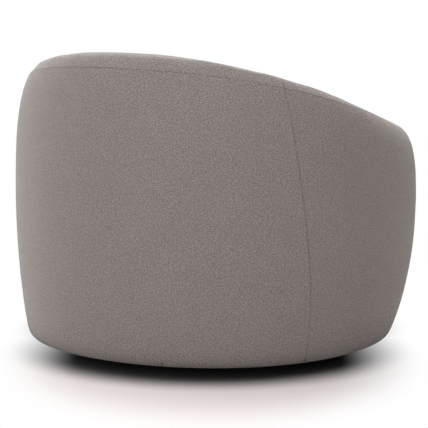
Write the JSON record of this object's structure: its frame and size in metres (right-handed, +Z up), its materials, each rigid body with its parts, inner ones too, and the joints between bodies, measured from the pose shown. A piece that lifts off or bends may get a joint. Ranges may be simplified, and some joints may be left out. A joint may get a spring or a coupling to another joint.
{
  "type": "swivel tub chair",
  "caption": "Low barrel tub chair whose padded rim slopes down into the arms, with a deep loose-look seat cushion, on a hidden swivel base.",
  "frame": {"origin": "on the floor, on the swivel axis, which is also the middle of the chair's outline seen from above", "axes": "+Z up, along the swivel axis; the sitter faces -Y, and the sitter's left arm is on +X"},
  "size_m": [0.8798, 0.84, 0.661],
  "materials": {
    "cover_fabric": "felted wool-blend boucle, matt, warm grey",
    "foam": "open-cell polyurethane foam, matt, cream",
    "felt": "needled fibre felt, matt, brown",
    "black_cloth": "thin woven lining cloth and elastic strap, matt, black",
    "birch_ply": "sawn birch plywood, unfinished, matt",
    "hardboard": "bent hardboard, unfinished, matt",
    "zinc_steel": "zinc-plated steel, satin",
    "black_steel": "powder-coated steel, matt, black",
    "black_plastic": "moulded polyamide, matt, black"
  },
  "bodies": {
    "base": {"glides": "black_plastic", "glide_bolts": "zinc_steel", "glide_nuts": "zinc_steel", "base_ring": "black_steel", "cross_bars": "black_steel", "lower_plate": "zinc_steel", "lower_race": "zinc_steel", "plate_bolts": "zinc_steel", "plate_nuts": "zinc_steel", "king_pin": "zinc_steel", "king_nut": "zinc_steel"},
    "cage": {"ball_cage": "zinc_steel", "bearing_balls": "zinc_steel"},
    "seat": {"upper_race": "zinc_steel", "upper_plate": "zinc_steel", "swivel_bolts": "zinc_steel", "tee_nuts": "zinc_steel", "plinth_ring": "birch_ply", "floor_panel": "birch_ply", "dust_cover": "black_cloth", "base_posts": "birch_ply", "glue_blocks": "birch_ply", "seat_frame": "birch_ply", "back_ribs": "birch_ply", "arm_ribs": "birch_ply", "back_rail": "birch_ply", "arm_rail_right": "birch_ply", "arm_rail_left": "birch_ply", "arm_stump_right": "birch_ply", "arm_stump_left": "birch_ply", "back_liner": "hardboard", "arm_liner_right": "hardboard", "arm_liner_left": "hardboard", "apron_board": "hardboard", "back_webbing": "black_cloth", "seat_springs": "zinc_steel", "spring_clips": "zinc_steel", "deck_felt": "felt", "deck_pad": "cover_fabric", "outside_back": "cover_fabric", "outside_arm_right": "cover_fabric", "outside_arm_left": "cover_fabric", "inside_back": "cover_fabric", "inside_arm_right": "cover_fabric", "inside_arm_left": "cover_fabric", "arm_front_right": "cover_fabric", "arm_front_left": "cover_fabric", "front_apron": "cover_fabric", "cushion_cover": "cover_fabric", "cushion_core": "foam", "cushion_underside": "black_cloth"}
  },
  "joints": [
    {"name": "swivel_spin", "type": "hinge", "parent": "base", "child": "seat", "pos_m": [0, 0, 0.0385], "axis": [0, 0, 1], "continuous": true},
    {"name": "cage_spin", "type": "hinge", "parent": "base", "child": "cage", "pos_m": [0, 0, 0.0385], "axis": [0, 0, 1], "continuous": true}
  ],
  "couplings": [
    {"joint": "cage_spin", "follows": "swivel_spin", "ratio": 0.5}
  ]
}
